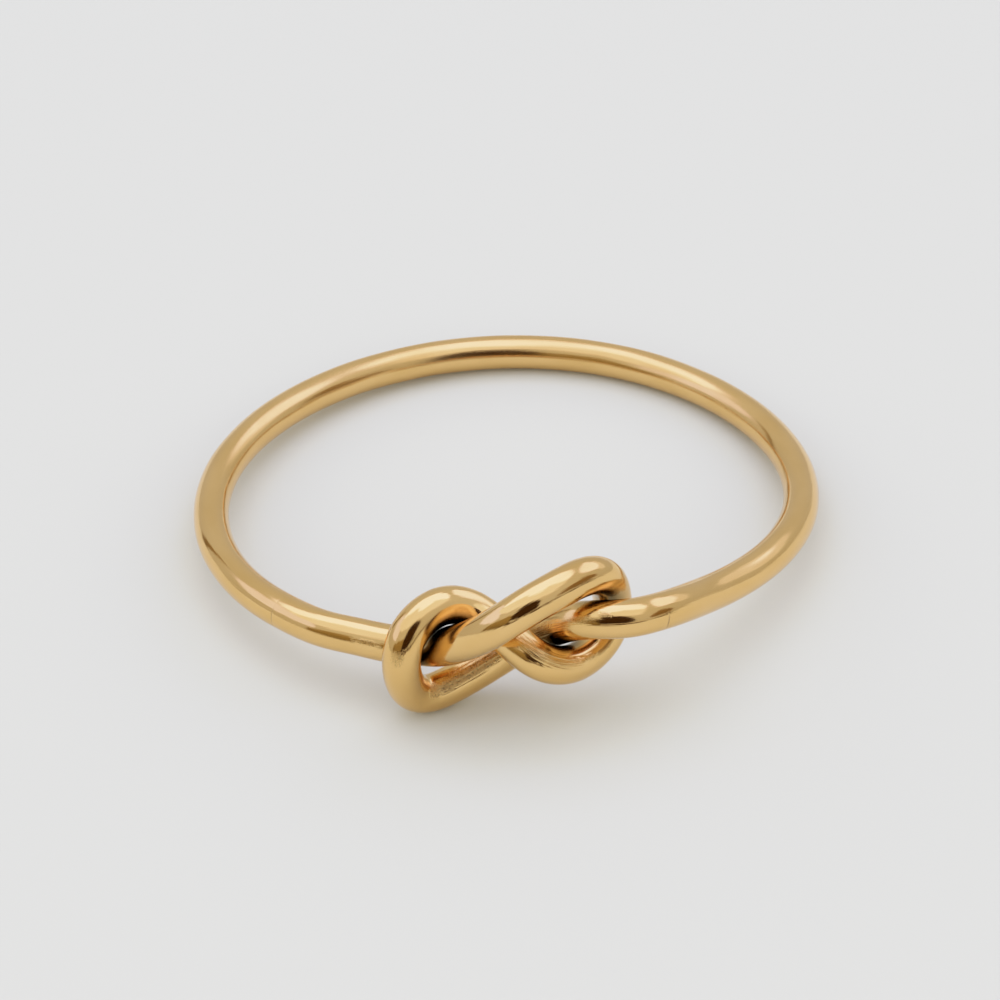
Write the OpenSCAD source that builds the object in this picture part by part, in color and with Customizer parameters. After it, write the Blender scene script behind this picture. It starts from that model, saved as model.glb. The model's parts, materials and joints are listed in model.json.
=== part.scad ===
// Knot ring: a plain round band whose wire is tied in a figure-eight knot at the front.
// The wire is one closed, smooth curve, so band and knot are a single solid.
// The ring lies on its side, on the knot's left loop and on the back of the band.
// +X is to the right of the knot, -Y is the way the knot faces, and the surface is at Z = 0.

/* [Band] */
// Inner diameter of the band, where the finger goes
inner_d = 17.3; // [16.5:0.1:19]
// Diameter of the band's round wire
band_wire_d = 1.1; // [1:0.02:1.14]
// Rise of the band's front and back over its left and right
band_saddle = 0.155; // [0:0.005:0.2]
// Rise of the band half way between those four places
band_twist = 0.155; // [0:0.005:0.2]
// Rise of the band at three places round it
band_skew = 0.06; // [0:0.01:0.1]

/* [Knot] */
// Diameter of the knot's round wire
knot_wire_d = 1.16; // [1.1:0.02:1.16]
// How far the knot's middle is to the right of the band's front
knot_across = 0.05; // [-0.2:0.05:0.2]
// How far the knot's middle stands out from the band's circle
knot_out = 0.2; // [0.1:0.05:0.3]
// How far the knot's middle stands above the band's plane
knot_up = 0.53; // [0.45:0.01:0.6]
// How far the loops droop, 3 mm to either side of the knot's middle
knot_droop = 0.24; // [0.15:0.01:0.3]

/* [Smoothness] */
// Flat sides round the wire
wire_sides = 16; // [12:1:16]
// Sections of the wire for each row of the knot's tables
knot_steps = 4; // [3:1:5]
// Sections of the wire for each row of the band
band_steps = 3; // [2:1:4]

/* [Hidden] */

gold = [0.87, 0.69, 0.40];

// Radius of the band's circle, at the middle of the wire
ring_r = (inner_d + band_wire_d) / 2;

// Columns of the tables below, in mm from the knot's middle
ACROSS = 0; // to the right
OUT = 1; // away from the finger, measured from the band's circle
UP = 2; // along the finger

// The band comes in from the left, dips, and goes under the side of the left loop
left_end = [
    [-6.00, -0.22, -0.42],
    [-5.25, -0.35, -0.45],
    [-4.50, -0.60, -0.52],
    [-3.70, -0.72, -0.62],
    [-2.90, -0.82, -0.76],
    [-2.15, -0.26, -0.51],
];

// First half of the knot, which ends at the knot's middle
first_half = [
    // up and out over the front, as the long slanting strand
    [-1.45,  0.53,  0.10],
    [-0.75,  1.05,  0.68],
    [ 0.00,  1.30,  1.30],
    [ 0.80,  1.12,  1.75],
    [ 1.60,  0.76,  2.00],
    // round the right loop and down behind the band's right end
    [ 2.40,  0.32,  2.18],
    [ 2.98, -0.12,  1.83],
    [ 3.15, -0.55,  1.00],
    [ 3.15, -0.80,  0.22],
    [ 3.00, -0.78, -0.46],
    // back along the bottom to the middle, between the other two strands
    [ 2.50, -0.35, -0.93],
    [ 1.80,  0.30, -0.98],
    [ 1.05,  0.64, -0.64],
    [ 0.50,  0.45, -0.27],
];

// Second half, much like the first turned inside out through the middle
second_half = [
    // behind the long strand and up over the top of the left loop
    [-0.50, -0.47,  0.26],
    [-1.05, -0.68,  0.64],
    [-1.80, -0.37,  1.00],
    [-2.50,  0.22,  0.91],
    // down the left loop's side, in front of the band's left end
    [-3.00,  0.81,  0.51],
    [-3.15,  1.02, -0.10],
    [-3.15,  0.76, -0.88],
    [-2.98,  0.21, -1.78],
    // round the bottom and up to the right behind the other strands
    [-2.40, -0.32, -2.18],
    [-1.60, -0.76, -1.99],
    [-0.80, -1.12, -1.70],
    [ 0.00, -1.30, -1.26],
    [ 0.75, -1.05, -0.67],
    [ 1.45, -0.50,  0.00],
];

// The strand comes up over the side of the right loop and runs out into the band
right_end = [
    [2.15,  0.42, 0.70],
    [2.90,  0.81, 0.87],
    [3.70,  0.95, 0.89],
    [4.50,  0.86, 0.79],
    [5.25,  0.46, 0.52],
    [6.00,  0.02, 0.21],
];

// Rows at either end whose wire is half way from the band's to the knot's diameter
blend_rows = 3;
blend_wire_d = (band_wire_d + knot_wire_d) / 2;

// The droop stops growing this far out, where the knot runs into the band
droop_reach = 3;
droop_limit = 1.5;

// The band is even rows round the back, from the last row on the right to the first on the left
band_rows = 25;
right_angle = asin(right_end[len(right_end) - 1][ACROSS] / ring_r);
left_angle = 360 + asin(left_end[0][ACROSS] / ring_r);
band_pitch = (left_angle - right_angle) / (band_rows + 1);

// A smooth curve cuts inside its rows, so the band's rows stand this much further out
band_row_r = ring_r * 3 / (2 + cos(band_pitch));

function droop(across) = knot_droop * min(pow(across / droop_reach, 2), droop_limit);

// A row of the tables as a place round the finger, with the wire's radius as its fourth number
function knot_row(row, wire_d) =
    let (x = row[ACROSS] + knot_across,
         y = -sqrt(ring_r * ring_r - x * x) - row[OUT] - knot_out,
         z = row[UP] + knot_up - droop(row[ACROSS]))
    [x, y, z, wire_d / 2];

// Height of the band at an angle counted from the front, to the right
function band_rise(angle) =
    band_saddle * cos(2 * angle) + band_twist * sin(2 * angle) + band_skew * sin(3 * angle);

function band_row(angle) =
    [band_row_r * sin(angle), -band_row_r * cos(angle), band_rise(angle), band_wire_d / 2];

knot_table = concat(left_end, first_half, [[0, 0, 0]], second_half, right_end);
knot_rows = [
    for (i = [0:len(knot_table) - 1])
        let (from_end = min(i, len(knot_table) - 1 - i))
        knot_row(knot_table[i], from_end < blend_rows ? blend_wire_d : knot_wire_d)
];
rows = concat(knot_rows, [for (i = [1:band_rows]) band_row(right_angle + i * band_pitch)]);

// A point of the smooth closed curve (a uniform cubic B-spline), the share t of the way past row i
function curve_point(i, t) =
    let (n = len(rows),
         before = pow(1 - t, 3),
         here = 3 * pow(t, 3) - 6 * pow(t, 2) + 4,
         next = -3 * pow(t, 3) + 3 * pow(t, 2) + 3 * t + 1,
         after = pow(t, 3))
    (before * rows[(i + n - 1) % n] + here * rows[i]
        + next * rows[(i + 1) % n] + after * rows[(i + 2) % n]) / 6;

wire = [
    for (i = [0:len(rows) - 1])
        let (steps = i < len(knot_rows) ? knot_steps : band_steps)
        for (s = [0:steps - 1]) curve_point(i, s / steps)
];

function place(point) = [point[0], point[1], point[2]];

function unit(v) = v / norm(v);

// The points round the wire at section i, counted from the side that faces away from the finger
function section(i) =
    let (n = len(wire),
         middle = place(wire[i]),
         along = unit(place(wire[(i + 1) % n]) - place(wire[(i + n - 1) % n])),
         outward = unit([middle[0], middle[1], 0]),
         side = unit(outward - (outward * along) * along),
         top = cross(along, side))
    [for (k = [0:wire_sides - 1])
        let (angle = 360 * k / wire_sides)
        middle + wire[i][3] * (cos(angle) * side + sin(angle) * top)];

upright_skin = [for (i = [0:len(wire) - 1]) each section(i)];

function corner(i, k) = (i % len(wire)) * wire_sides + k % wire_sides;

faces = [
    for (i = [0:len(wire) - 1], k = [0:wire_sides - 1])
        each [
            [corner(i, k), corner(i + 1, k), corner(i + 1, k + 1)],
            [corner(i, k), corner(i + 1, k + 1), corner(i, k + 1)],
        ]
];

// The points turned about the X axis
function tipped(points, angle) = [
    for (p = points)
        [p[0], p[1] * cos(angle) - p[2] * sin(angle), p[1] * sin(angle) + p[2] * cos(angle)]
];

function lowest(points) =
    let (floor_z = min([for (p = points) p[2]]))
    [for (p = points) if (p[2] == floor_z) p][0];

// The angle at which the lowest points in front and behind are level, found in a few turns
function lie_angle(points, angle, turns) =
    turns == 0 ? angle :
    let (now = tipped(points, angle),
         front = lowest([for (p = now) if (p[1] < 0) p]),
         back = lowest([for (p = now) if (p[1] > 0) p]))
    lie_angle(points, angle + atan((front[2] - back[2]) / (back[1] - front[1])), turns - 1);

lie_turns = 4;
lying_skin = tipped(upright_skin, lie_angle(upright_skin, 0, lie_turns));

// The origin is below the middle of the ring's box, on the surface that it lies on
low = [for (axis = [0:2]) min([for (p = lying_skin) p[axis]])];
high = [for (axis = [0:2]) max([for (p = lying_skin) p[axis]])];
origin = [(low[0] + high[0]) / 2, (low[1] + high[1]) / 2, low[2]];

echo(box_mm = high - low, leans_deg = lie_angle(upright_skin, 0, lie_turns), centre_mm = -origin);

module knot_ring() {
    color(gold)
        polyhedron(points = [for (p = lying_skin) p - origin], faces = faces, convexity = 10);
}

knot_ring();
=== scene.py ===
# %% [markdown]
# # A knot ring
# The ring is a plain round band of polished gold wire with a figure-eight knot at the front.
# This lesson bends one wire along a smooth curve, gives it a jeweller's finish, and lights it
# the way small polished things are lit: with a few large, soft, bright panels to reflect.

import json
import math

import bpy
import numpy as np
from mathutils import Matrix, Vector
from mathutils.noise import noise as noise_3d


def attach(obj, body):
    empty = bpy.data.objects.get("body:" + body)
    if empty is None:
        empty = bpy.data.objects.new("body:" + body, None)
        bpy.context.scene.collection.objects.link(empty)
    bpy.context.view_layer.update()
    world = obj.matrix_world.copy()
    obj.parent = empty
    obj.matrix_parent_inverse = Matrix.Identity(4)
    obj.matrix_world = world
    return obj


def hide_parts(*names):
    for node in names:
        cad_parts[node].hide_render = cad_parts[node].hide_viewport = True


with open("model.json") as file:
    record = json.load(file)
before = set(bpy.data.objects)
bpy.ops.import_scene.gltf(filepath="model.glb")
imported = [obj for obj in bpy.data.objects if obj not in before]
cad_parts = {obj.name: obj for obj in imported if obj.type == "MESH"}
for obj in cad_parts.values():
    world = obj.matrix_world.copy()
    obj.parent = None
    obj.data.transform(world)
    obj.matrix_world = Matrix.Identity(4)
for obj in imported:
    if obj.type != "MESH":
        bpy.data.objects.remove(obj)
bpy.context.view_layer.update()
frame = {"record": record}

# %% [markdown]
# ## Sizes
# The wire is bent in millimetres, as a jeweller would, and scaled to metres at the end.
# The band's circle is measured at the middle of the wire. The knot is tied in wire that is
# a little thicker than the band's, so the eye finds it at once.

# %% The ring's sizes
MM = 0.001
inner_d = 17.3
band_wire_d = 1.10
knot_wire_d = 1.16
blend_wire_d = (band_wire_d + knot_wire_d) / 2
ring_r = (inner_d + band_wire_d) / 2
print("radius of the band's circle:", round(ring_r, 3), "mm")

# %% [markdown]
# ## How the ring lies
# The ring lies on its side: on the lowest lobe of the knot and on the back of the band.
# So it leans back a few degrees. The model says where the middle of the finger hole is and
# which way the hole points, and that is all it takes to lay the wire where the model lies.

# %% The finger hole says how the ring lies
hole = next(m for m in frame["record"]["mounts"] if m["name"] == "finger_hole")
lean = -math.atan2(hole["axis"][1], hole["axis"][2])
ring_to_part = Matrix.Translation(hole["pos_m"]) @ Matrix.Rotation(lean, 4, "X") @ Matrix.Scale(MM, 4)
print("the ring leans back", round(-math.degrees(lean), 2), "degrees")

# %% [markdown]
# ## The knot's route
# A figure-eight knot is two loops that hold each other. Turned inside out through its own
# middle it is almost the same knot, so its two halves are much alike with every sign changed.
# They could be one table used twice, but a knot that is pulled tight by hand never comes out
# quite even, and polished metal shows that. So each half has its own rows.
# The right end stays nearly straight as far as its solder seam, as stiff wire does, and only
# then bends back into the band.
# Each row is a place measured from the knot's middle, in mm: across, out and up.

# %% Rows of the knot
left_end = [
    (-6.00, -0.22, -0.42),
    (-5.25, -0.35, -0.45),
    (-4.50, -0.60, -0.52),
    (-3.70, -0.72, -0.62),
    (-2.90, -0.82, -0.76),
    (-2.15, -0.26, -0.51),
]
first_half = [
    # up and out over the front, as the long slanting strand
    (-1.45, 0.53, 0.10),
    (-0.75, 1.05, 0.68),
    (0.00, 1.30, 1.30),
    (0.80, 1.12, 1.75),
    (1.60, 0.76, 2.00),
    # round the right loop and down behind the band's right end
    (2.40, 0.32, 2.18),
    (2.98, -0.12, 1.83),
    (3.15, -0.55, 1.00),
    (3.15, -0.80, 0.22),
    (3.00, -0.78, -0.46),
    # back along the bottom to the middle, between the other two strands
    (2.50, -0.35, -0.93),
    (1.80, 0.30, -0.98),
    (1.05, 0.64, -0.64),
    (0.50, 0.45, -0.27),
]
second_half = [
    # behind the long strand and up over the top of the left loop
    (-0.50, -0.47, 0.26),
    (-1.05, -0.68, 0.64),
    (-1.80, -0.37, 1.00),
    (-2.50, 0.22, 0.91),
    # down the left loop's side, in front of the band's left end
    (-3.00, 0.81, 0.51),
    (-3.15, 1.02, -0.10),
    (-3.15, 0.76, -0.88),
    (-2.98, 0.21, -1.78),
    # round the bottom and up to the right behind the other strands
    (-2.40, -0.32, -2.18),
    (-1.60, -0.76, -1.99),
    (-0.80, -1.12, -1.70),
    (0.00, -1.30, -1.26),
    (0.75, -1.05, -0.67),
    (1.45, -0.50, 0.00),
]
right_end = [
    (2.15, 0.42, 0.70),
    (2.90, 0.81, 0.87),
    (3.70, 1.05, 0.97),
    (4.50, 1.10, 0.96),
    (5.25, 0.66, 0.66),
    (6.00, 0.10, 0.26),
]
knot_table = left_end + first_half + [(0.0, 0.0, 0.0)] + second_half + right_end
print("rows in the knot:", len(knot_table))

# %% [markdown]
# ## Laying the knot round the finger
# The rows are flat numbers, but the knot sits on a round finger. "Out" is therefore counted
# from the band's circle, which curves away to the sides. The loops also droop a little.

# %% From rows to places round the finger
knot_across, knot_out, knot_up = 0.05, 0.20, 0.53
knot_droop, droop_reach, droop_limit = 0.24, 3.0, 1.5
blend_rows = 3


def knot_row(number, row):
    """A row's place round the finger, with the wire's radius there as a fourth number."""
    across, out, up = row
    x = across + knot_across
    y = -math.sqrt(ring_r**2 - x**2) - out - knot_out
    z = up + knot_up - knot_droop * min((across / droop_reach) ** 2, droop_limit)
    from_end = min(number, len(knot_table) - 1 - number)
    wire_d = blend_wire_d if from_end < blend_rows else knot_wire_d
    return (x, y, z, wire_d / 2)


knot_rows = [knot_row(number, row) for number, row in enumerate(knot_table)]
knot_reach = max(math.hypot(x, y) for x, y, z, wire_r in knot_rows)
print("the knot's rows reach", round(knot_reach - ring_r, 2), "mm out from the band's circle")

# %% [markdown]
# ## The band
# A hand-made band is never quite flat. Three gentle waves give it the warp of the real one:
# a saddle, a twist and a skew. The rows stand a hair outside the circle, because a smooth
# curve always cuts inside the rows that steer it.

# %% Rows of the band, round the back
band_saddle, band_twist, band_skew = 0.155, 0.155, 0.06
band_count = 25
right_angle = math.asin(right_end[-1][0] / ring_r)
left_angle = 2 * math.pi + math.asin(left_end[0][0] / ring_r)
band_pitch = (left_angle - right_angle) / (band_count + 1)
band_row_r = ring_r * 3 / (2 + math.cos(band_pitch))


def band_row(angle):
    """A row of the band. The angle is counted from the front, towards the right."""
    rise = band_saddle * math.cos(2 * angle) + band_twist * math.sin(2 * angle)
    rise += band_skew * math.sin(3 * angle)
    return (band_row_r * math.sin(angle), -band_row_r * math.cos(angle), rise, band_wire_d / 2)


band_rows = [band_row(right_angle + k * band_pitch) for k in range(1, band_count + 1)]
rows = np.array(knot_rows + band_rows)
print("rows in the whole wire:", len(rows))

# %% [markdown]
# ## One smooth line through everything
# A curve object could draw this wire, but its bevel gives no say over thickness, dents and the
# direction of the polishing lines. Sampling the curve by hand keeps all of that.
# The line is a closed cubic B-spline: each point is a weighted mean of the four nearest rows,
# and neither its direction nor its bend ever jumps, which polished metal would show at once.

# %% Sampling the curve
fine_count = 20001


def curve_points(where):
    """Points of the closed curve. Each place is a row's number plus the share of the way to the next."""
    where = np.asarray(where)
    row = np.floor(where).astype(int)
    t = (where - row)[:, None]
    count = len(rows)
    before = (1 - t) ** 3
    here = 3 * t**3 - 6 * t**2 + 4
    after = -3 * t**3 + 3 * t**2 + 3 * t + 1
    return (
        before * rows[(row - 1) % count]
        + here * rows[row % count]
        + after * rows[(row + 1) % count]
        + t**3 * rows[(row + 2) % count]
    ) / 6


fine_places = np.linspace(0, len(rows), fine_count)
fine_points = curve_points(fine_places)
fine_steps = np.linalg.norm(np.diff(fine_points[:, :3], axis=0), axis=1)
fine_lengths = np.concatenate([[0], np.cumsum(fine_steps)])
wire_length = fine_lengths[-1]
print("length of the wire:", round(float(wire_length), 2), "mm")

# %% [markdown]
# ## Two solder seams
# The knot is tied first and then soldered between the band's ends. Each joint is left as a
# hairline across the wire. A painted line would look flat on polished metal, so each seam is
# a real groove a few hundredths of a millimetre wide. The left one is also where the wire's
# measuring starts, so that nothing can show where the two ends of the numbers meet.

# %% Where the seams are
seam_angles = {"left": math.radians(-46.8), "right": math.radians(26.0)}


def length_at_angle(angle):
    """How far along the wire the band passes an angle, counted from the front to the right."""
    around = np.arctan2(fine_points[:, 0], -fine_points[:, 1])
    return fine_lengths[np.argmin(np.abs(np.angle(np.exp(1j * (around - angle)))))]


start = length_at_angle(seam_angles["left"])
knot_seam = (length_at_angle(seam_angles["right"]) - start) % wire_length
knot_begins = (0 - start) % wire_length
knot_ends = np.interp(len(knot_rows) - 1, fine_places, fine_lengths) + knot_begins
print("from the left seam, in mm: knot", round(float(knot_begins), 2), "to", round(float(knot_ends), 2),
      "and the right seam at", round(float(knot_seam), 2))

# %% [markdown]
# ## Sections along the wire
# Polished metal shows every facet, so the sections are close: closer in the knot, where the
# wire bends hard, and closest at the seams, where a groove has to be drawn.

# %% Placing the sections
knot_step, band_step, seam_step = 0.055, 0.15, 0.008
step_growth = 0.12


def step_at(distance):
    """The gap to the next section. It grows smoothly with the distance from a seam."""
    from_seam = min(distance, abs(distance - knot_seam), wire_length - distance)
    in_knot = knot_begins < distance < knot_ends
    coarse = knot_step if in_knot else band_step
    return min(coarse, seam_step + step_growth * from_seam)


distances = [0.0]
while distances[-1] < wire_length - 1.5 * seam_step:
    distances.append(distances[-1] + step_at(distances[-1]))
distances = np.array([d for d in distances if d < wire_length - seam_step / 2])
places = np.interp((distances + start) % wire_length, fine_lengths, fine_places)
middles = curve_points(places)
print("sections:", len(distances))

# %% [markdown]
# ## Carrying a direction along the wire
# Each section needs two directions across the wire. They are carried from section to section
# and only straightened, never turned, so the polishing lines run along the wire as they do on
# drawn wire. Once round, they come back a little turned. That turn is shared out evenly.

# %% Directions across the wire
nudge = 1e-4
along = (curve_points(places + nudge) - curve_points(places - nudge))[:, :3]
along /= np.linalg.norm(along, axis=1)[:, None]


def straightened(direction, axis):
    """The part of a direction that is square to the axis, at length one."""
    square = direction - np.dot(direction, axis) * axis
    return square / np.linalg.norm(square)


side = np.zeros_like(along)
side[0] = straightened(np.array([*middles[0, :2], 0.0]), along[0])
for i in range(1, len(along)):
    side[i] = straightened(side[i - 1], along[i])
top = np.cross(along, side)
back_home = straightened(side[-1], along[0])
turned = math.atan2(np.dot(back_home, top[0]), np.dot(back_home, side[0]))
share = (-turned * distances / wire_length)[:, None]
side, top = np.cos(share) * side + np.sin(share) * top, np.cos(share) * top - np.sin(share) * side
print("turn shared out along the wire:", round(math.degrees(turned), 1), "degrees")

# %% [markdown]
# ## Where the strands crowd each other
# A knot can't be polished all over. Two things decide how a spot looks: how near the next
# strand is, since the narrowest gaps get near-black painted shade, with dirt and old polish in
# it, and whether a round buff can reach the spot at all. The buff is taken as a small ball that has to touch
# the spot.
# Both could be painted by hand, but worked out from the wire they stay right from every side.

# %% How near the next strand is, and what the buff can't reach
wire_sides = 64
own_stretch = 2.4
buff_r, buff_play = 1.20, 0.40
far_away = 9.0

angles = 2 * math.pi * np.arange(wire_sides) / wire_sides
outwards = np.cos(angles)[None, :, None] * side[:, None, :] + np.sin(angles)[None, :, None] * top[:, None, :]
gap = np.full((len(distances), wire_sides), far_away)
blocked = np.zeros((len(distances), wire_sides))
for i in range(len(distances)):
    spots = middles[i, :3] + middles[i, 3] * outwards[i]
    near = np.linalg.norm(middles[:, :3] - middles[i, :3], axis=1) < 2 * (buff_r + knot_wire_d)
    balls = spots + buff_r * outwards[i]
    apart = np.linalg.norm(balls[:, None, :] - middles[near][None, :, :3], axis=2)
    blocked[i] = (buff_r + middles[near][None, :, 3] - apart).max(axis=1)
    away = np.abs(distances - distances[i])
    others = near & (np.minimum(away, wire_length - away) > own_stretch)
    if others.any():
        apart = np.linalg.norm(spots[:, None, :] - middles[others][None, :, :3], axis=2)
        gap[i] = (apart - middles[others][None, :, 3]).min(axis=1)
unbuffed = np.clip(blocked / buff_play, 0, 1)
print("narrowest gap between strands:", round(float(gap.min()), 3), "mm; the buff misses",
      round(100 * float((unbuffed > 0.5).mean())), "percent of the surface")

# %% [markdown]
# ## Where hand tools left their marks
# Pliers and files leave three kinds of marks on such a knot: small rough patches, dented
# stretches, and stretches that are scored along the wire. They could be painted on a picture
# that is wrapped round the ring. Soft ellipses from a short table do the same, and are moved by
# changing a number. Each row says where its middle is, along the wire in mm from the left seam
# and round it in degrees, how far it reaches both ways, and how strong it is.

# %% Patches that hand tools left behind
patch_rim = 1.8
rough_patches = [
    (27.45, -12, 1.45, 17, 1.0),
    (26.00, -20, 0.55, 20, 0.7),
    (25.90, -2, 0.42, 20, 0.85),
    (27.30, -36, 1.30, 16, 0.5),
    (32.20, -33, 0.40, 14, 0.6),
    (32.75, -44, 0.16, 10, 0.9),
    (3.10, -23, 0.55, 9, 0.7),
    (23.43, 84, 0.20, 24, 0.9),
    (16.50, 77, 0.35, 10, 0.7),
    (31.00, -30, 0.50, 16, 0.5),
]
dented_patches = [
    (31.10, -32, 1.60, 50, 1.0),
    (10.40, 75, 1.30, 60, 1.0),
    (17.60, 70, 1.60, 45, 0.6),
    (27.10, -22, 1.80, 45, 0.7),
]
scored_patches = [
    (17.85, 72, 1.25, 22, 1.0),
    (31.20, -24, 1.10, 26, 0.7),
    (27.60, -24, 1.50, 14, 0.6),
]


def patches(table):
    """Soft ellipses on the wire, each 1 in its middle and 0 at its rim, times its strength."""
    total = np.zeros((len(distances), wire_sides))
    for middle, angle, reach, reach_round, strength in table:
        away = (distances - middle) / reach
        turned_away = np.degrees(np.angle(np.exp(1j * (angles - math.radians(angle))))) / reach_round
        inside = np.clip(patch_rim * (1 - away[:, None] ** 2 - turned_away[None, :] ** 2), 0, 1)
        total = np.maximum(total, strength * inside)
    return total


print("patches:", len(rough_patches), "rough,", len(dented_patches), "dented and",
      len(scored_patches), "scored")

# %% [markdown]
# ## The wire's surface
# Wire that was bent, filed and polished by hand is never a perfect tube. Slow waves, each less
# than a thousandth of a millimetre high, make the reflections swim a little, which the eye reads
# as real metal. Where the buff never came, dents of the pliers are still there, about a
# hundredth of a millimetre deep, and they tear the reflections into ragged patches. Next to
# each seam the file has left a shallow flat. Bump in the material could fake all of this, but
# then the mesh itself would stay a plain tube.

# %% Waves along the wire
wave_seed, wave_count, wave_height = 4, 14, 0.0008
fewest_along, most_along, most_around = 6, 33, 3

chance = np.random.default_rng(wave_seed)
radius = np.repeat(middles[:, 3:], wire_sides, axis=1)
for _ in range(wave_count):
    waves_along = chance.integers(fewest_along, most_along + 1)
    waves_around = chance.integers(0, most_around + 1)
    phase = 2 * math.pi * waves_along * distances[:, None] / wire_length + chance.uniform(0, 2 * math.pi)
    radius += wave_height * np.sin(phase + waves_around * angles[None, :])
waved = radius - middles[:, 3:]
print("waves up to", round(float(np.abs(waved).max()), 4), "mm high")

# %% Dents inside the knot
mark_size, mark_finer, finer_share = 0.55, 1.7, 0.5
mark_height, mark_clear = 0.011, 0.15

wire_r = knot_wire_d / 2
dented = unbuffed * patches(dented_patches) * np.clip(gap / mark_clear, 0, 1)
for i, j in zip(*np.nonzero(dented)):
    spot = Vector((wire_r * math.cos(angles[j]), wire_r * math.sin(angles[j]), distances[i])) / mark_size
    mark = noise_3d(spot) + finer_share * noise_3d(mark_finer * spot.yzx)
    radius[i, j] += mark_height * dented[i, j] * mark
print("points moved by dents:", int(np.count_nonzero(dented)))

# %% Grooves and flats at the seams
seam_depth, seam_width = 0.014, 0.016
seam_all_round, seam_reach_round = 0.05, 22
left_line_at, left_line_share = -6, 0.55
right_line_at, right_line_share = 8, 0.95
flat_depth, flat_width = 0.002, 0.30


def nearness(centre, width):
    """1 at a place along the wire, fading to 0 a few widths away from it."""
    away = np.abs(distances - centre)
    away = np.minimum(away, wire_length - away)
    return np.exp(-((away / width) ** 2))


def round_it(centre, width):
    """1 at an angle round the wire, in degrees, fading to 0 at about its width away."""
    away = np.degrees(np.angle(np.exp(1j * (angles - math.radians(centre)))))
    return np.exp(-((away / width) ** 4))


left_line = seam_all_round + left_line_share * round_it(left_line_at, seam_reach_round)
right_line = seam_all_round + right_line_share * round_it(right_line_at, seam_reach_round)
seam_lines = (
    nearness(0, seam_width)[:, None] * left_line[None, :]
    + nearness(knot_seam, seam_width)[:, None] * right_line[None, :]
)
flats = nearness(0, flat_width) + nearness(knot_seam, flat_width)
radius -= seam_depth * seam_lines + flat_depth * flats[:, None]
print("wire radius from", round(float(radius.min()), 4), "to", round(float(radius.max()), 4), "mm")

# %% [markdown]
# ## From sections to a mesh
# The points of all sections are joined with four-sided faces, and the last section with the
# first, so the wire is one closed skin like the real soldered ring.

# %% The ring's mesh
skin = middles[:, None, :3] + radius[:, :, None] * outwards
turn = np.array(ring_to_part)
points = skin.reshape(-1, 3) @ turn[:3, :3].T + turn[:3, 3]

section_count = len(distances)
here = np.arange(section_count)[:, None] * wire_sides
ahead = (np.arange(section_count)[:, None] + 1) % section_count * wire_sides
k = np.arange(wire_sides)[None, :]
k_next = (k + 1) % wire_sides
faces = np.stack([here + k, here + k_next, ahead + k_next, ahead + k], axis=-1).reshape(-1, 4)

ring_mesh = bpy.data.meshes.new("knot_ring_wire")
ring_mesh.from_pydata(points.tolist(), [], faces.tolist())
ring_mesh.update()
ring_mesh.shade_smooth()
ring = bpy.data.objects.new("knot_ring_wire", ring_mesh)
bpy.context.collection.objects.link(ring)
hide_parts("knot_ring")
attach(ring, "root")
ring_height = float(np.ptp(points[:, 2]))
print("faces:", len(ring_mesh.polygons), "and the ring is", round(1000 * ring_height, 2), "mm high")

# %% [markdown]
# ## What the finish needs to know
# A material can't see where the knot is tight, so the mesh tells it. Seven values are kept at
# every point: its place on the wire before it was bent (for lines along the wire), how much
# dirt and painted shade it has, how far a buff is from reaching it, whether it is rough or
# scored, how near a seam is, and how far back on the band it is.

# %% Values at every point
darkening_gap, darkening_fade = 0.38, 0.34
towards_back = np.clip(0.5 + middles[:, 1] / (2 * ring_r), 0, 1)
# painted shade: the closer the next strand, the darker the gold is painted, as dirt and as the shade that
# falls in the gap
dirt_and_shade = np.clip((darkening_gap - gap) / darkening_fade, 0, 1)
print("share of the surface with dirt in it:", round(float((dirt_and_shade > 0.3).mean()), 3))


def keep_on_mesh(name, kind, values):
    """Store one value for each point of the ring's mesh, for the material to read."""
    layer = ring_mesh.attributes.new(name, kind, "POINT")
    field = "vector" if kind == "FLOAT_VECTOR" else "value"
    layer.data.foreach_set(field, np.ravel(values).astype(np.float32))


def all_round(values):
    """One value for each section, repeated at every point round the wire."""
    return np.repeat(values[:, None], wire_sides, axis=1)


straight = np.stack([radius * np.cos(angles), radius * np.sin(angles), all_round(distances)], axis=-1)
keep_on_mesh("straight_wire", "FLOAT_VECTOR", straight)
keep_on_mesh("dirt_and_shade", "FLOAT", dirt_and_shade)
keep_on_mesh("unbuffed", "FLOAT", unbuffed)
keep_on_mesh("rough_patch", "FLOAT", patches(rough_patches))
keep_on_mesh("scored", "FLOAT", patches(scored_patches))
keep_on_mesh("solder", "FLOAT", np.clip(seam_lines, 0, 1))
keep_on_mesh("towards_back", "FLOAT", all_round(towards_back))

# %% [markdown]
# ## Polished gold
# Gold has no colour of its own under the shine: it tints what it reflects. So the shader is
# pure metal, and the detail is in how sharp the reflections are and how they are tinted.
# A picture of scratches could be wrapped round the wire, but noise that is stretched along it
# never repeats and has no seam. A few small helpers keep the node tree readable.

# %% Helpers for the material
gold = bpy.data.materials.new("polished_gold")
gold.use_nodes = True
nodes, links = gold.node_tree.nodes, gold.node_tree.links
shader = nodes["Principled BSDF"]


def node(kind, label, **settings):
    """A new node with its settings, named for what it does here."""
    made = nodes.new(kind)
    made.label = label
    for name, value in settings.items():
        setattr(made, name, value)
    return made


def value_of(name):
    """A value that was kept on the mesh."""
    return node("ShaderNodeAttribute", name, attribute_name=name, attribute_type="GEOMETRY")


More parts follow.
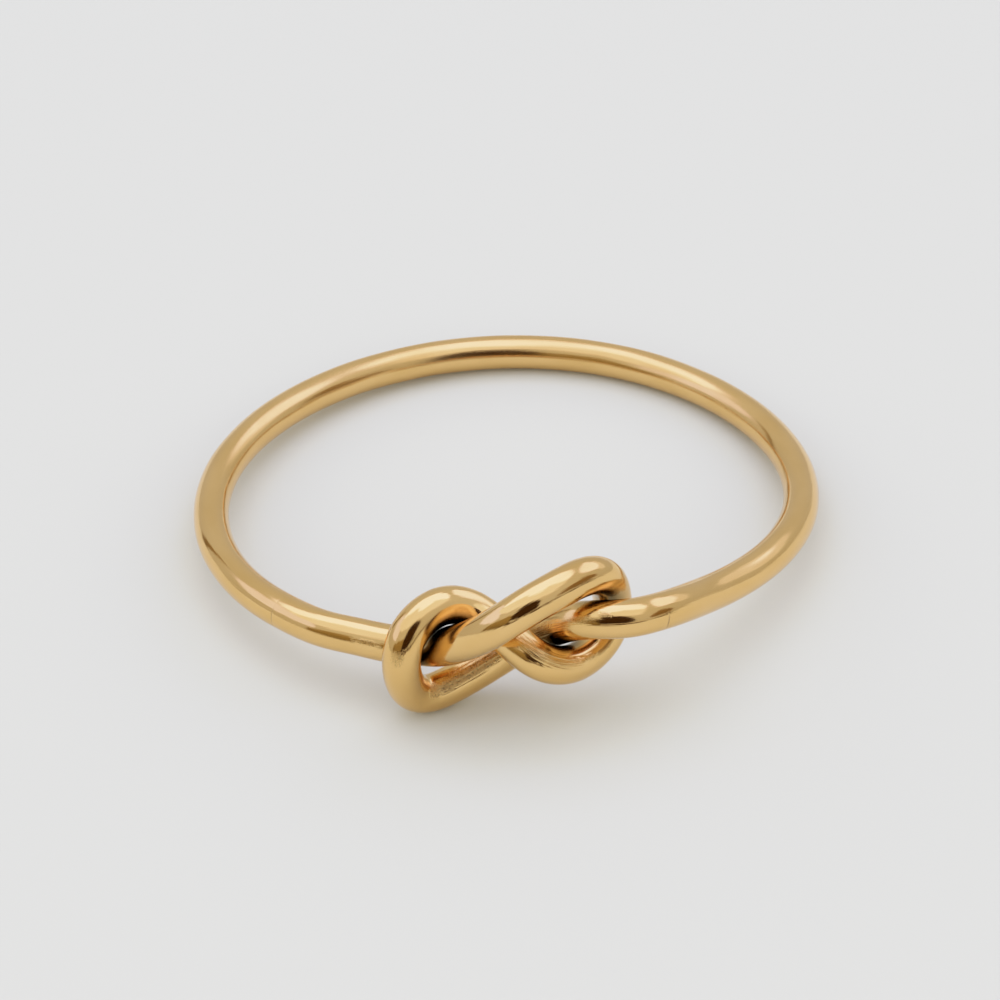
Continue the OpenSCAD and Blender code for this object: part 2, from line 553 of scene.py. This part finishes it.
def noise(label, vector, stretch, detail=2.0, roughness=0.5):
    """Noise on the straight wire, with its own number of spots per mm round and along it."""
    scaled = node("ShaderNodeVectorMath", label + " spacing", operation="MULTIPLY")
    links.new(vector, scaled.inputs[0])
    scaled.inputs[1].default_value = stretch
    made = node("ShaderNodeTexNoise", label)
    made.inputs["Scale"].default_value = 1.0
    made.inputs["Detail"].default_value = detail
    made.inputs["Roughness"].default_value = roughness
    links.new(scaled.outputs[0], made.inputs["Vector"])
    return made.outputs["Fac"]


def math_of(operation, label, first, second):
    """One step of arithmetic on two sockets or numbers."""
    made = node("ShaderNodeMath", label, operation=operation)
    for socket, value in zip(made.inputs, (first, second)):
        if isinstance(value, (int, float)):
            socket.default_value = value
        else:
            links.new(value, socket)
    return made.outputs[0]


def spread(label, value, low, high, to_low, to_high):
    """Move a value from one range to another, without going past either end."""
    made = node("ShaderNodeMapRange", label)
    links.new(value, made.inputs["Value"])
    for name, number in zip(("From Min", "From Max", "To Min", "To Max"), (low, high, to_low, to_high)):
        made.inputs[name].default_value = number
    return made.outputs["Result"]


print("material:", gold.name)

# %% [markdown]
# ## Lines, grain and smears
# The drawing die leaves lines along the wire, and the buffing thread finer ones over them. Rough
# patches have a coarse grain, and nothing is polished quite evenly.

# %% Patterns of the finish
straight_wire = value_of("straight_wire").outputs["Vector"]
is_unbuffed = value_of("unbuffed").outputs["Fac"]
has_dirt_and_shade = value_of("dirt_and_shade").outputs["Fac"]
at_seam = value_of("solder").outputs["Fac"]
in_patch = value_of("rough_patch").outputs["Fac"]
is_scored = value_of("scored").outputs["Fac"]
at_back = value_of("towards_back").outputs["Fac"]

draw_lines = noise("draw lines", straight_wire, (17, 17, 0.35), detail=3)
buff_lines = noise("buffing lines", straight_wire, (45, 45, 1.2), detail=2)
grain = noise("grain in rough patches", straight_wire, (14, 14, 11), detail=4, roughness=0.65)
smears = noise("uneven polish", straight_wire, (1.6, 1.6, 0.5), detail=2)
grain_share = spread("grain's share", grain, 0.35, 0.55, 0.35, 1)
grainy = math_of("MULTIPLY", "broken up by the grain", in_patch, grain_share)
print("patterns of noise:", sum(made.bl_idname == "ShaderNodeTexNoise" for made in nodes))

# %% [markdown]
# ## How sharp the reflections are
# The best polish is in the knot's open places and on the band beside it. The back of the band is
# duller, places that the buff missed are a little satin, and rough patches and seams are matt.
# Each of these adds its own share to one roughness, so they can overlap as they do on metal.

# %% Roughness of the gold
polish_low, polish_high = 0.06, 0.11
line_rough, unbuffed_rough, patch_rough, seam_rough = 0.05, 0.05, 0.30, 0.25
back_rough = 0.14

rough = spread("smears", smears, 0.3, 0.7, polish_low, polish_high)
for label, more in (
    ("with lines", spread("line roughness", draw_lines, 0.45, 0.75, 0, line_rough)),
    ("duller at the back", spread("worn", at_back, 0.15, 1.0, 0, back_rough)),
    ("with unbuffed places", math_of("MULTIPLY", "satin", is_unbuffed, unbuffed_rough)),
    ("with rough patches", math_of("MULTIPLY", "matt", grainy, patch_rough)),
    ("with seams", math_of("MULTIPLY", "seam", at_seam, seam_rough)),
):
    rough = math_of("ADD", label, rough, more)
links.new(rough, shader.inputs["Roughness"])
print("roughness where the gold is polished best:", polish_low, "to", polish_high)

# %% [markdown]
# ## What the reflections are tinted with
# Two golds that hardly differ are mixed unevenly over the whole ring. Stains in the hollows of
# the rough patches, dirt and painted shade in the narrowest gaps, and solder in the seams are
# laid over them in turn, each where the mesh says it is.

# %% Colour of the gold
bright_gold = (0.85, 0.572, 0.25, 1)
deep_gold = (0.80, 0.525, 0.21, 1)
speckled_gold = (0.30, 0.22, 0.09, 1)
# near-black for the narrowest gaps: painted shade with dirt in it
dirt_and_shade_gold = (0.07, 0.062, 0.028, 1)
seam_gold = (0.42, 0.29, 0.15, 1)


def tint(label, amount, first, second):
    """Mix two colours, each a socket or a colour, by an amount."""
    made = node("ShaderNodeMix", label, data_type="RGBA")
    links.new(amount, made.inputs["Factor"])
    for name, colour in (("A_Color", first), ("B_Color", second)):
        socket = next(s for s in made.inputs if s.identifier == name)
        if isinstance(colour, tuple):
            socket.default_value = colour
        else:
            links.new(colour, socket)
    return next(s for s in made.outputs if s.identifier == "Result_Color")


body = tint("gold, uneven", spread("unevenness", smears, 0.35, 0.75, 0, 1), bright_gold, deep_gold)
hollows = spread("hollows", grain, 0.38, 0.50, 1, 0)
stained = math_of("MULTIPLY", "stained in the hollows of the grain", grainy, hollows)
body = tint("gold in rough patches", stained, body, speckled_gold)
# painted shade and dirt laid in where the strands crowd each other
body = tint("gold in the narrowest gaps", has_dirt_and_shade, body, dirt_and_shade_gold)
body = tint("gold at seams", at_seam, body, seam_gold)
links.new(body, shader.inputs["Base Color"])
shader.inputs["Metallic"].default_value = 1.0
print("colours mixed in the gold:", 1 + sum(made.bl_idname == "ShaderNodeMix" for made in nodes))

# %% [markdown]
# ## Relief that is finer than the mesh
# The lines are a few thousandths of a millimetre deep and the pits of the rough patches two
# hundredths, too fine for faces. Bump tilts the light on them instead. Where the wire is scored
# the same lines are many times as deep.

# %% Relief of the gold
line_height, grain_height = 0.0000032, 0.000022
scored_more, buff_share = 14.0, 0.3

relief = node("ShaderNodeBump", "lines in relief")
relief.inputs["Strength"].default_value = 1.0
relief.inputs["Distance"].default_value = line_height
both_lines = math_of("ADD", "all lines", draw_lines, math_of("MULTIPLY", "fainter", buff_lines, buff_share))
deeper = math_of("ADD", "deeper where scored", math_of("MULTIPLY", "scoring", is_scored, scored_more), 1.0)
links.new(math_of("MULTIPLY", "lines, some deeper", both_lines, deeper), relief.inputs["Height"])
pits = node("ShaderNodeBump", "grain in relief")
pits.inputs["Strength"].default_value = 1.0
pits.inputs["Distance"].default_value = grain_height
links.new(math_of("MULTIPLY", "grain only in patches", grain, in_patch), pits.inputs["Height"])
links.new(relief.outputs["Normal"], pits.inputs["Normal"])
links.new(pits.outputs["Normal"], shader.inputs["Normal"])
ring_mesh.materials.append(gold)
print("nodes in the gold:", len(nodes))

# %% [markdown]
# ## The floor
# The ring lies on a pale matt surface. It is wide enough to fill the reflections on the
# underside of the wire, and round, so that no corner shows in them as a square plane's would.

# %% A pale round floor
floor_r, floor_corners = 0.9, 96
floor_z = float(points[:, 2].min())

floor_mesh = bpy.data.meshes.new("floor")
corner_angles = [2 * math.pi * i / floor_corners for i in range(floor_corners)]
floor_mesh.from_pydata(
    [(floor_r * math.cos(a), floor_r * math.sin(a), floor_z) for a in corner_angles],
    [],
    [tuple(range(floor_corners))],
)
floor = bpy.data.objects.new("floor", floor_mesh)
bpy.context.collection.objects.link(floor)


def matt(name, colour):
    """A plain matt material of one colour."""
    made = bpy.data.materials.new(name)
    made.use_nodes = True
    inputs = made.node_tree.nodes["Principled BSDF"].inputs
    inputs["Base Color"].default_value = (*colour, 1)
    inputs["Roughness"].default_value = 1.0
    inputs["Specular IOR Level"].default_value = 0.0
    return made


floor_mesh.materials.append(matt("pale_floor", (0.622, 0.632, 0.588)))
print("floor at", round(1000 * floor_z, 4), "mm")

# %% [markdown]
# ## Light
# A polished ring shows no light of its own, only a picture of the room. Small lamps would make
# hard white dots, so the room has a few large soft boxes, each of them a reflection with clean
# edges. Area lights could do it, but they are rectangles. Glowing cards can have any outline,
# and a reflection then shows just the brightness that is written here.

# %% Cards
card_distance = 0.42
second_row = card_distance + 0.01
fill_distance = 0.36
card_steps = 6
cards = []


def in_room(azimuth, elevation, distance):
    """A place in the room. The azimuth is counted from behind the ring towards its right."""
    a, e = math.radians(azimuth), math.radians(elevation)
    flat = distance * math.cos(e)
    return (flat * math.sin(a), flat * math.cos(a), distance * math.sin(e))


def card(name, outline, material, distance=card_distance):
    """A curved card that the camera doesn't see. Each row is (azimuth, lowest, highest), in degrees."""
    table = np.array(outline, float)
    azimuths = np.linspace(table[0, 0], table[-1, 0], card_steps * (len(outline) - 1) + 1)
    lows, highs = (np.interp(azimuths, table[:, 0], table[:, column]) for column in (1, 2))
    corners = [in_room(a, low + (high - low) * k / card_steps, distance)
               for a, low, high in zip(azimuths, lows, highs) for k in range(card_steps + 1)]
    tiles = []
    for column in range(len(azimuths) - 1):
        for k in range(card_steps):
            first = column * (card_steps + 1) + k
            tiles.append((first, first + 1, first + card_steps + 2, first + card_steps + 1))
    mesh = bpy.data.meshes.new(name)
    mesh.from_pydata(corners, [], tiles)
    mesh.materials.append(material)
    made = bpy.data.objects.new(name, mesh)
    made.visible_camera = False
    bpy.context.collection.objects.link(made)
    cards.append(made)
    return made


def glow(name, brightness, colour=(1.0, 1.0, 1.42)):
    """A material that gives light and reflects none, like the cloth of a soft box."""
    made = matt(name, (0, 0, 0))
    inputs = made.node_tree.nodes["Principled BSDF"].inputs
    inputs["Emission Color"].default_value = (*colour, 1)
    inputs["Emission Strength"].default_value = brightness
    return made


print("cards stand", card_distance, "m from the ring")

# %% [markdown]
# ## Soft boxes and windows
# The brightest box hangs overhead, and a dimmer ceiling goes on over the camera. A window on
# either side, and a sill under the right one, draw the long highlights on the band. Their light
# is a little blue, and the gold turns it to cream.

# %% Soft boxes
whole_turn = range(-180, 181, 60)
card("overhead_box", [
    (-75, 45, 78), (-65, 44, 78), (-45, 47, 78), (-20, 51, 78), (0, 53, 78), (18, 57, 78),
    (24, 59, 78), (40, 62, 78), (60, 63, 78), (90, 62, 78), (100, 60, 78),
], glow("overhead_glow", 1.48))
card("top_of_the_box", [(azimuth, 78, 90) for azimuth in whole_turn], glow("top_glow", 1.48))
card("ceiling_over_the_camera", [
    (100, 60, 78), (115, 53, 78), (135, 43, 78), (150, 48, 78), (165, 54, 78), (180, 56, 78),
    (210, 52, 78), (240, 44, 78), (260, 42, 78), (270, 40, 78), (285, 42, 78),
], glow("ceiling_glow", 1.05, (1.0, 1.0, 1.1)))
card("window_at_right", [
    (20, 35, 42), (38, 29, 54), (55, 27, 57), (74, 29, 56), (86, 38, 50),
], glow("right_glow", 1.30))
card("sill_at_right", [
    (28, 26, 33), (40, 21, 31), (52, 17, 31), (60, 15, 31), (68, 16, 31), (72, 20, 31),
], glow("sill_glow", 0.88, (1.0, 1.0, 1.10)), second_row)
card("window_at_left", [
    (-118, 24, 36), (-100, 20, 44), (-80, 18, 44), (-62, 22, 42), (-54, 30, 38),
], glow("left_glow", 1.05))
print("soft boxes and windows:", len(cards))

# %% [markdown]
# ## Light for the floor alone
# Lit by the soft boxes alone, a pale floor looks grey, and the shadow under the ring is faint.
# Two more cards light the floor, one from low down and one from above. They are hidden from
# glossy rays, so the gold doesn't show them.

# %% Fill cards
low_fill = card("low_fill", [
    (0, 10, 26), (60, 10, 28), (120, 10, 42), (180, 10, 46), (240, 10, 42), (300, 10, 28), (360, 10, 26),
], glow("low_fill_glow", 1.6, (1.0, 0.965, 0.88)), fill_distance)
high_fill = card("high_fill", [
    (azimuth, 58, 90) for azimuth in whole_turn
], glow("high_fill_glow", 1.7, (1.0, 1.0, 1.12)), fill_distance)
for fill in (low_fill, high_fill):
    fill.visible_glossy = False
print("cards, with the fill:", len(cards))

# %% [markdown]
# ## Dark cards
# Dark cards give the bright metal its dark lines: without something dark to reflect, gold looks
# like plastic. They stand for whoever holds the camera and the clothes at either side, and for
# a door frame. A low dark strip lies along the front at the floor's level.

# %% Dark cards
card("round_the_camera", [
    (150, 14, 38), (156, 11, 46), (164, 9, 51), (174, 9, 52), (184, 9, 50), (190, 11, 44), (195, 14, 30),
], matt("dark_brown", (0.045, 0.022, 0.008)))
card("beside_the_camera_left", [
    (190, 4, 32), (205, 3, 32), (225, 3, 28), (245, 4, 16),
], matt("olive_cloth", (0.30, 0.24, 0.12)), second_row)
card("beside_the_camera_right", [
    (92, 12, 20), (98, 9, 28), (106, 9, 31), (116, 9, 29), (124, 10, 24), (131, 11, 18),
], matt("brown_cloth", (0.24, 0.17, 0.085)), second_row)
card("door_frame", [
    (-51, 0, 24), (-48, 0, 28), (-45, 0, 26),
], matt("dark_frame", (0.26, 0.20, 0.11)))
# a low dark strip round the front, from just under the floor's level to a few degrees up
card("low_dark_strip", [
    (90, -1, 1), (110, -1, 4), (150, -1, 5), (190, -1, 5), (218, -1, 1),
], matt("low_strip_brown", (0.14, 0.09, 0.05)))
print("cards in all:", len(cards))

# %% [markdown]
# ## The rest of the room
# Behind the cards the room is a plain grey, hardly darker behind the ring than in front, and a
# little brighter towards the ceiling. A picture of a real room could light the scene, but a
# plain grey keeps the reflections quiet. The world's colour follows the direction to say so.

# %% A soft grey room
front_grey, back_grey, ceiling_more = 0.60, 0.58, 0.14
room = bpy.data.worlds.new("soft_room")
bpy.context.scene.world = room
room.use_nodes = True
room_nodes, room_links = room.node_tree.nodes, room.node_tree.links
towards = room_nodes.new("ShaderNodeTexCoord")
axes = room_nodes.new("ShaderNodeSeparateXYZ")
room_links.new(towards.outputs["Generated"], axes.inputs[0])


def fade(axis, low, high, to_low, to_high):
    """A grey that fades between two values along one axis of the room."""
    made = room_nodes.new("ShaderNodeMapRange")
    room_links.new(axes.outputs[axis], made.inputs["Value"])
    for name, number in zip(("From Min", "From Max", "To Min", "To Max"), (low, high, to_low, to_high)):
        made.inputs[name].default_value = number
    return made.outputs["Result"]


both = room_nodes.new("ShaderNodeMath")
room_links.new(fade("Y", -1, 0.4, front_grey, back_grey), both.inputs[0])
room_links.new(fade("Z", 0, 1, 0, ceiling_more), both.inputs[1])
room_links.new(both.outputs[0], room_nodes["Background"].inputs["Strength"])
room_nodes["Background"].inputs["Color"].default_value = (1.0, 1.0, 1.0, 1)
print("room: from", front_grey, "in front to", back_grey, "behind")

# %% [markdown]
# ## The camera
# A long lens from in front and above, as for a shop picture: the back of the band is hardly
# smaller than the knot. The camera is tilted sideways by a few degrees, as a hand holds it.

# %% The camera, at the height and side that it was held
camera_azimuth, camera_elevation, camera_roll = 1.42, 35.53, 2.86
camera_distance = 0.15594
camera_aim = Vector((-0.000184, 0.000523, 0.001239))

lens = bpy.data.cameras.new("camera")
lens.lens, lens.sensor_width = 180, 36
lens.clip_start, lens.clip_end = 0.01, 10
camera = bpy.data.objects.new("camera", lens)
a, e = math.radians(camera_azimuth), math.radians(camera_elevation)
back = Vector((math.sin(a) * math.cos(e), -math.cos(a) * math.cos(e), math.sin(e)))
camera.location = camera_aim + back * camera_distance
camera.rotation_euler = (
    back.to_track_quat("Z", "Y").to_matrix() @ Matrix.Rotation(-math.radians(camera_roll), 3, "Z")
).to_euler()
bpy.context.collection.objects.link(camera)
bpy.context.scene.camera = camera
print("camera at", [round(1000 * v, 1) for v in camera.location], "mm")

# %% [markdown]
# ## The picture's tones
# A camera doesn't cut off bright tones, it lets them roll over. A tone curve does the same:
# nearly straight in the middle, and bent over at the top, which also turns the brightest gold
# cream instead of orange. Each pair is the brightness that is given and the one that is shown.

# %% The picture's tone curve
tone_top = 2.0
tones = [
    (0.0, 0.0), (0.1, 0.09), (0.3, 0.29), (0.6, 0.58),
    (0.745, 0.71), (1.0, 0.84), (1.3, 0.93), (tone_top, 0.98),
]
picture = bpy.context.scene.view_settings
picture.view_transform = "Standard"
picture.look = "None"
picture.use_curve_mapping = True
picture.curve_mapping.white_level = (tone_top, tone_top, tone_top)
all_colours = picture.curve_mapping.curves[3]
for given, shown in tones[1:-1]:
    all_colours.points.new(given / tone_top, shown)
all_colours.points[-1].location = (1.0, tones[-1][1])
picture.curve_mapping.update()
print("points in the tone curve:", len(all_colours.points))
